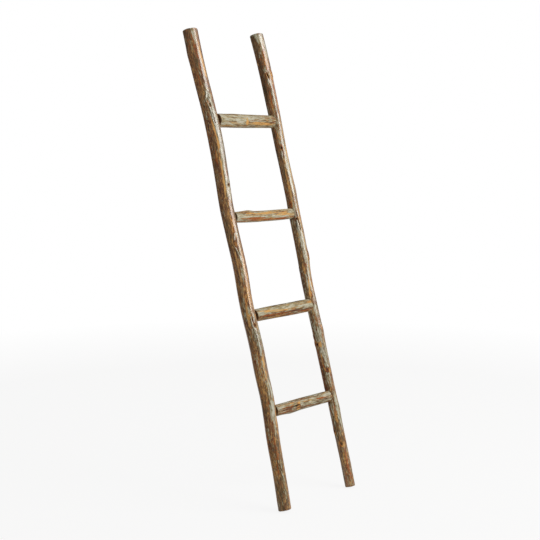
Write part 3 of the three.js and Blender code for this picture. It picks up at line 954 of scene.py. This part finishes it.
def make_plug(name, tree, number):
    node = f"{name}_plug"
    corners = corners_of(node)
    middle = middle_of(corners_of(f"{name}_screw"))
    radius = np.ptp(corners[:, 0]) / 2
    turn = 2 * math.pi * np.arange(PLUG_SIDES) / PLUG_SIDES

    def ring(out):
        return middle[0] + out * radius * np.sin(turn), middle[2] + out * radius * np.cos(turn)

    x, z = ring(1.0)
    rows = [np.stack([x, np.full_like(x, corners[:, 1].min()), z], axis=1)]
    for out, eased in PLUG_STEPS:
        x, z = ring(out)
        y = [depth_behind(tree, a, c) + PLUG_PROUD - eased for a, c in zip(x, z)]
        rows.append(np.stack([x, y, z], axis=1))
    rows = np.stack(rows)
    shown = {"grain": rows * MM + [0, 0, number * POLE_APART]}
    shown |= {key: np.full(rows.shape[:2], value) for key, value in PLUG_LOOK.items()}
    return make_piece(f"{node}_face", node, rows, shown)


plug_pieces = []
for rail, side in zip(rail_pieces, ("left", "right")):
    points = [corner.co for corner in rail.data.vertices]
    faces = [face.vertices for face in rail.data.polygons]
    tree = BVHTree.FromPolygons(points, faces)
    for pole in rungs:
        number = FIRST_PLUG + len(plug_pieces)
        plug_pieces.append(make_plug(f"{pole.node}_{side}", tree, number))
print(len(plug_pieces), "plugs, each", len(plug_pieces[0].data.polygons), "faces")

# %% [markdown]
# ## Holes for the tenons and the screws
#
# The tenons sit in blind holes, bored from the inner side of each rail. A screw from the back
# crosses every tenon, under its plug in a wider hole. The holes are drilled as in the workshop:
# a round bar of the drill's size, for each hole, is taken away from the solid wood.

# %% Drill the rails
CLEARANCE = 0.3
DRILL_SIDES = 48
SHANK_RADIUS, HEAD_HEIGHT = 2.0, 2.5
SHARP = math.radians(50)  # a steeper corner, such as a hole's rim, isn't shaded over
MOUTH = 20.0  # how far a tenon's drill reaches past the shoulder, out of the rail


def bar(start, end, radius):
    """A drill of that size between two points in the ladder's directions."""
    axis = (end - start) / np.linalg.norm(end - start)
    beside = np.cross(axis, [0.3, 0.5, 0.8])  # any direction that isn't the drill's own
    beside /= np.linalg.norm(beside)
    turn = 2 * math.pi * np.arange(DRILL_SIDES)[:, None] / DRILL_SIDES
    ring = radius * (beside * np.cos(turn) + np.cross(axis, beside) * np.sin(turn))
    points = np.concatenate([start + ring, end + ring, [start, end]])
    tool = placed("drill", (points @ ladder_axes * MM).tolist(), closed_sheet(2, DRILL_SIDES))
    # The walls that a drill leaves take these values: painted shade, and the colour of cut wood.
    for name in ("deep", "sawn"):
        told(tool.data, name, np.ones(len(points)))
    return tool


def drill(piece, bars):
    """Takes round bars away from a piece."""
    for tool in bars:
        hole = piece.modifiers.new("hole", "BOOLEAN")
        hole.operation, hole.solver, hole.object = "DIFFERENCE", "MANIFOLD", tool
    graph = bpy.context.evaluated_depsgraph_get()
    drilled = bpy.data.meshes.new_from_object(piece.evaluated_get(graph))
    piece.modifiers.clear()
    drilled.set_sharp_from_angle(angle=SHARP)
    piece.data = drilled
    for tool in bars:
        bpy.data.objects.remove(tool)


def socket_bar(pole, side):
    tip = pole.first - CLEARANCE if side == "left" else pole.last + CLEARANCE
    mouth = MOUTH if side == "left" else pole.length - MOUTH
    ends = pole.places(np.array([tip, mouth]), 0.0, 0.0)
    return bar(ends[0], ends[1], pole.peg_radius + CLEARANCE)


def bar_behind(screw, start, end, radius):
    """A drill in line with a screw, a little wider than that radius."""
    x, _, z = middle_of(screw)
    return bar(np.array([x, start, z]), np.array([x, end, z]), radius + CLEARANCE)


def shank_bar(name):
    screw = corners_of(f"{name}_screw")
    tip, under_head = screw[:, 1].min() - CLEARANCE, screw[:, 1].max() - HEAD_HEIGHT
    return bar_behind(screw, tip, under_head, SHANK_RADIUS)


def plug_bar(name):
    screw, plug = corners_of(f"{name}_screw"), corners_of(f"{name}_plug")
    start = screw[:, 1].max() - HEAD_HEIGHT - CLEARANCE
    return bar_behind(screw, start, plug[:, 1].max() + MOUTH, np.ptp(plug[:, 0]) / 2)


for rail, side in zip(rail_pieces, ("left", "right")):
    bars = [socket_bar(pole, side) for pole in rungs]
    for pole in rungs:
        joint = f"{pole.node}_{side}"
        bars += [shank_bar(joint), plug_bar(joint)]
    drill(rail, bars)
    print(rail.name, "after drilling:", len(rail.data.polygons), "faces")

for piece, pole in zip(rung_pieces, rungs):
    drill(piece, [shank_bar(f"{pole.node}_{side}") for side in ("left", "right")])
    print(piece.name, "after drilling:", len(piece.data.polygons), "faces")

# %% [markdown]
# ## Writing a finish
#
# A finish is worked out from a few numbers at each point, so it is written as plain sums. A
# small class wraps the output of a shader node, and adding or multiplying two of them adds the
# node that does it. Colours are written as they look on screen, from 0 to 255.

# %% Make the tools for finishes
def shade(red, green, blue):
    """A colour as it looks on screen, as the renderer counts it."""
    parts = [value / 255 for value in (red, green, blue)]
    return (*[p / 12.92 if p <= 0.04045 else ((p + 0.055) / 1.055) ** 2.4 for p in parts], 1)


class Wire:
    """A number or a colour that changes over the surface."""

    def __init__(self, nodes, socket):
        self.nodes, self.socket = nodes, socket

    def worked(self, operation, first, second, clamp=False):
        settings = {"operation": operation, "use_clamp": clamp}
        return self.nodes.node("ShaderNodeMath", settings, {0: first, 1: second})

    def __add__(self, other):
        return self.worked("ADD", self, other)

    def __sub__(self, other):
        return self.worked("SUBTRACT", self, other)

    def __rsub__(self, other):
        return self.worked("SUBTRACT", other, self)

    def __mul__(self, other):
        return self.worked("MULTIPLY", self, other)

    def __truediv__(self, other):
        return self.worked("DIVIDE", self, other)

    __radd__ = __add__
    __rmul__ = __mul__

    def held(self):
        """Held between nothing and all."""
        return self.worked("ADD", self, 0.0, clamp=True)

    def above(self, level, soft):
        """Nothing well below a level, all well above it, and soft between."""
        return ((self - level) / soft + 0.5).held()


class Nodes:
    """A tree of nodes that grows by one node at a time."""

    def __init__(self, tree):
        self.tree = tree

    def node(self, kind, settings, values, output=0):
        node = self.tree.nodes.new(kind)
        for name, value in settings.items():
            setattr(node, name, value)
        for name, value in values.items():
            self.join(value, node.inputs[name])
        return Wire(self, node.outputs[output])

    def join(self, value, socket):
        if isinstance(value, Wire):
            self.tree.links.new(value.socket, socket)
        else:
            socket.default_value = value


class Finish(Nodes):
    """A material that is built up from nodes."""

    def __init__(self, name):
        self.material = bpy.data.materials.new(name)
        self.material.use_nodes = True
        super().__init__(self.material.node_tree)
        self.shader = self.tree.nodes["Principled BSDF"]

    def surface(self, **values):
        for name, value in values.items():
            self.join(value, self.shader.inputs[name.replace("_", " ")])

    def told(self, name, vector=False):
        """What was stored on the mesh under that name."""
        output = "Vector" if vector else "Fac"
        return self.node("ShaderNodeAttribute", {"attribute_name": name}, {}, output)

    def along_grain(self, place, scale):
        """A place with only its distance along the pole scaled."""
        settings = {"operation": "MULTIPLY"}
        return self.node("ShaderNodeVectorMath", settings, {0: place, 1: (1, 1, scale)})

    def noise(self, place, stretch, scale, detail=2.0, rough=0.5, twist=0.0):
        """Soft noise around one half, drawn out along the grain."""
        drawn = self.along_grain(place, 1 / stretch)
        values = {"Vector": drawn, "Scale": scale, "Detail": detail, "Roughness": rough}
        values["Distortion"] = twist
        return self.node("ShaderNodeTexNoise", {}, values)

    def mix(self, share, low, high):
        """Two colours mixed. The node takes colours in its sockets 6 and 7 and gives one at 2."""
        settings = {"data_type": "RGBA", "clamp_factor": True}
        return self.node("ShaderNodeMix", settings, {0: share, 6: low, 7: high}, 2)


print("a mid grey of 128 counts as", round(shade(128, 128, 128)[0], 3))

# %% [markdown]
# ## Weathered wood
#
# The poles were stained brown, which soaked unevenly into the soft and hard parts of the wood.
# The stain has since flaked down to ochre wood, with rust round the flakes. A thin sage wash was
# brushed over and rubbed off again, so it stays in small pale scabs. Fine drying checks follow
# the grain, and wax went on last. The sawn ends show the year rings round the heart.

# %% Write the wood
OLIVE_BROWN = shade(96, 79, 55)
RED_BROWN = shade(108, 70, 51)
BROWN = shade(156, 116, 77)
OCHRE = shade(226, 174, 102)
RUST = shade(174, 92, 34)
SAGE = shade(168, 161, 122)
PALE_SAGE = shade(206, 203, 182)
# near black, for darker knot wood and for painted shade in hollows, cracks, checks and holes
DARK_AND_PAINTED_SHADE = shade(34, 26, 18)
SAWN = shade(128, 98, 64)
YEAR_RINGS = {"Distortion": 3.0, "Detail": 2.0, "Detail Scale": 0.4}
CHECK_SHARPNESS = 5000


def wood(name, ochre_level, wash_level, gloss, long):
    """A finish for one kind of pole. Lower levels show more ochre and more wash."""
    finish = Finish(name)
    grain = finish.told("grain", vector=True)
    wash, bare, rust, deep, wax, sawn = (
        finish.told(key) for key in ("wash", "bare", "rust", "deep", "wax", "sawn")
    )
    broad = finish.noise(grain, long, scale=24)
    patches = finish.noise(grain, long, scale=37, detail=3)
    fibres = finish.noise(grain, stretch=10, scale=320, detail=3, rough=0.6)
    flakes = finish.noise(grain, long, scale=260, detail=5, rough=0.62, twist=0.4)
    specks = finish.noise(grain, long, scale=310, detail=4, rough=0.6, twist=0.3)
    scabs = finish.noise(grain, long, scale=220, detail=5, rough=0.65, twist=0.4)
    checks = finish.noise(grain, stretch=22, scale=260)

    stain = finish.mix((broad + rust * 0.1).above(0.5, 0.2), OLIVE_BROWN, RED_BROWN)
    stain = finish.mix((fibres + bare * 0.07).above(0.53, 0.16), stain, BROWN)
    rusty = (specks + (patches - 0.5) * 0.3 + rust * 0.09).above(0.62, 0.1)
    stain = finish.mix(rusty * 0.75, stain, RUST)
    flaked = (flakes + (broad - 0.5) * 0.3 + bare * 0.09).above(ochre_level, 0.12)
    stain = finish.mix(flaked * 0.78, stain, OCHRE)
    left = scabs + (patches - 0.5) * 0.4 + (fibres - 0.5) * 0.3
    left = left + wash * 0.09 - (bare + rust) * 0.05
    washed = left.above(wash_level, 0.1) * (specks.above(0.43, 0.1) * 0.45 + 0.55)
    sage = finish.mix((left + specks - 0.5).above(wash_level + 0.12, 0.2), SAGE, PALE_SAGE)
    stain = finish.mix(washed * 0.85, stain, sage)
    # Fine drying checks: thin lines painted near black, as the shade inside them.
    from_check = checks - 0.5
    checked = (1 - from_check * from_check * CHECK_SHARPNESS).held() * broad.above(0.5, 0.1)
    stain = finish.mix(checked * 0.7, stain, DARK_AND_PAINTED_SHADE)

    rings = finish.node(
        "ShaderNodeTexWave",
        {"wave_type": "RINGS", "rings_direction": "SPHERICAL"},
        {"Vector": finish.along_grain(grain, 0), "Scale": 95.0} | YEAR_RINGS,
    )
    colour = finish.mix(sawn, stain, finish.mix(rings * 0.5, SAWN, BROWN))
    # Painted shade: hollows, cracks, grooves, drilled holes, tenons, shoulders and the right
    # rail's shaded edge go towards near black, together with the darker knot wood.
    colour = finish.mix(deep.held(), colour, DARK_AND_PAINTED_SHADE)

    shine = (wax + (patches - 0.5) - sawn - deep).held()
    rough = 0.62 - shine * 0.14 * gloss + (fibres - 0.5) * 0.3
    height = (flakes - 0.5) * 1.2 + (fibres - 0.5) * 0.5 + washed * 0.12 - checked * 0.5
    height = height * (1 - sawn * 0.8)
    bumps = finish.node(
        "ShaderNodeBump", {}, {"Strength": 0.8, "Distance": 0.0008, "Height": height}
    )
    finish.surface(Base_Color=colour, Roughness=rough, Normal=bumps, Coat_Weight=shine * gloss)
    finish.surface(Coat_Roughness=0.13, Coat_IOR=1.9, Specular_IOR_Level=0.1)
    return finish.material


rail_wood = wood("rail_wood_finish", ochre_level=0.62, wash_level=0.6, gloss=0.65, long=3.6)
rung_wood = wood("rung_wood_finish", ochre_level=0.56, wash_level=0.47, gloss=0.3, long=8)
plug_wood = wood("plug_wood_finish", ochre_level=0.6, wash_level=0.66, gloss=0.6, long=3.6)


def give(pieces, material):
    for piece in pieces:
        piece.data.materials.clear()
        piece.data.materials.append(material)


give(rail_pieces, rail_wood)
give(rung_pieces, rung_wood)
give(plug_pieces, plug_wood)
print("wood nodes:", len(rail_wood.node_tree.nodes))

# %% [markdown]
# ## Steel
#
# The screws are ordinary zinc-plated ones. They sit in the dark under the plugs, and would only
# show if a plug fell out, but they get their own metal all the same.

# %% Give the screws their metal
def steel(name):
    finish = Finish(name)
    place = finish.node("ShaderNodeTexCoord", {}, {}, "Object")
    cloudy = finish.noise(place, stretch=1, scale=900, detail=3)
    dull, bright = shade(150, 150, 148), shade(196, 196, 192)
    finish.surface(Base_Color=finish.mix(cloudy, dull, bright), Metallic=1.0)
    finish.surface(Roughness=cloudy * 0.25 + 0.28)
    return finish.material


screws = [node for name, node in frame["nodes"].items() if name.endswith("_screw")]
give(screws, steel("screw_steel_finish"))
print("screws:", len(screws))

# %% [markdown]
# ## Light
#
# In the photograph a large soft light stands high and well to the right of the camera, in front
# of the ladder. It draws a pale line down each pole a little right of its middle and leaves the
# left half in an even brown shade. The background is white all round, but at a plain level, so
# that the wood isn't washed out: only the camera and reflections see it at full white.

# %% Set the light
KEY_PLACE, KEY_SIZE, KEY_POWER = (1.8, -3.57, 3.0), 2.8, 130
AIM = Vector((0.0, 0.0, 0.95))
ROOM_LIGHT = 0.48
WHITE = (1, 1, 1, 1)


def looked_at(nodes):
    """All where the camera, a reflection or glass looks at the backdrop, else nothing."""
    rays = [
        nodes.node("ShaderNodeLightPath", {}, {}, f"Is {kind} Ray")
        for kind in ("Camera", "Glossy", "Transmission")
    ]
    return (rays[0] + rays[1] + rays[2]).held()


lamp = bpy.data.lights.new("key_light", "AREA")
lamp.shape, lamp.size, lamp.size_y, lamp.energy = "RECTANGLE", KEY_SIZE, KEY_SIZE, KEY_POWER
key_light = bpy.data.objects.new("key_light", lamp)
key_light.location = KEY_PLACE
key_light.rotation_euler = (AIM - key_light.location).to_track_quat("-Z", "Y").to_euler()
bpy.context.scene.collection.objects.link(key_light)

world = bpy.data.worlds.new("studio")
world.use_nodes = True
backdrop = Nodes(world.node_tree)
strength = looked_at(backdrop) * (1 - ROOM_LIGHT) + ROOM_LIGHT
background = world.node_tree.nodes["Background"]
backdrop.join(WHITE, background.inputs["Color"])
backdrop.join(strength, background.inputs["Strength"])
bpy.context.scene.world = world
bpy.context.scene.view_settings.view_transform = "Standard"

# %% [markdown]
# ## Floor and cards
#
# The floor is pale and keeps the ladder's shadow, and it fades into the white further out. The
# poles in the photograph are darker towards their edges, because dark cards or the room's own
# dark stood round the set. Here a row of black cards runs from behind the camera round the left
# and the back of the ladder to its right, and one lies on the floor. They are there for the wax
# alone, which reflects them: the camera, the soft light and the shadows don't meet them.

# %% Lay the floor and stand the cards
FLOOR_WHITE = 0.88
FLOOR_HALF = 6.0
SHADOW_REACH, SHADOW_FADE = 3.0, 1.5  # metres: where the floor is half faded, over what width
CARD_FOOT, CARD_TOP = 0.02, 7.5
CARD_LINE = [
    (-0.4, -5.2), (-2.6, -4.9), (-4.4, -3.6), (-4.0, -1.6), (-2.9, 2.2), (-0.9, 4.2), (1.5, 4.6),
    (3.6, 3.4), (4.6, 0.6),
]
LYING_CARD = [(-4.2, -1.6, 0.004), (-0.5, -0.7, 0.004), (-0.3, 1.2, 0.004), (-2.0, 3.6, 0.004)]


def board(name, corners, material):
    """A flat piece of the studio."""
    thing = placed(name, corners, [(0, 1, 2, 3)])
    thing.data.materials.append(material)
    thing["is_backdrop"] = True
    return thing


pale = bpy.data.materials.new("pale_floor")
pale.use_nodes = True
paint = Nodes(pale.node_tree)
matt = paint.node("ShaderNodeBsdfDiffuse", {}, {"Color": shade(216, 215, 212)})
white = paint.node("ShaderNodeEmission", {}, {"Color": WHITE, "Strength": 1.0})
place = paint.node("ShaderNodeNewGeometry", {}, {}, "Position")
away = paint.node("ShaderNodeVectorMath", {"operation": "LENGTH"}, {0: place}, "Value")
faded = away.above(SHADOW_REACH, SHADOW_FADE)
share = looked_at(paint) * (FLOOR_WHITE + faded * (1 - FLOOR_WHITE))
both = paint.node("ShaderNodeMixShader", {}, {0: share, 1: matt, 2: white})
paint.join(both, pale.node_tree.nodes["Material Output"].inputs["Surface"])
floor_corners = [(-1, -1, 0), (1, -1, 0), (1, 1, 0), (-1, 1, 0)]
board("floor", [tuple(FLOOR_HALF * part for part in corner) for corner in floor_corners], pale)

black = bpy.data.materials.new("black_card")
black.use_nodes = True
black.node_tree.nodes["Principled BSDF"].inputs["Base Color"].default_value = shade(20, 20, 20)
cards = [LYING_CARD]
for start, end in zip(CARD_LINE, CARD_LINE[1:]):
    foot, top = CARD_FOOT, CARD_TOP
    cards.append([(*start, foot), (*end, foot), (*end, top), (*start, top)])
for number, corners in enumerate(cards):
    card = board(f"card_{number}", corners, black)
    card.visible_camera = card.visible_diffuse = card.visible_shadow = False
print("cards:", len(cards))
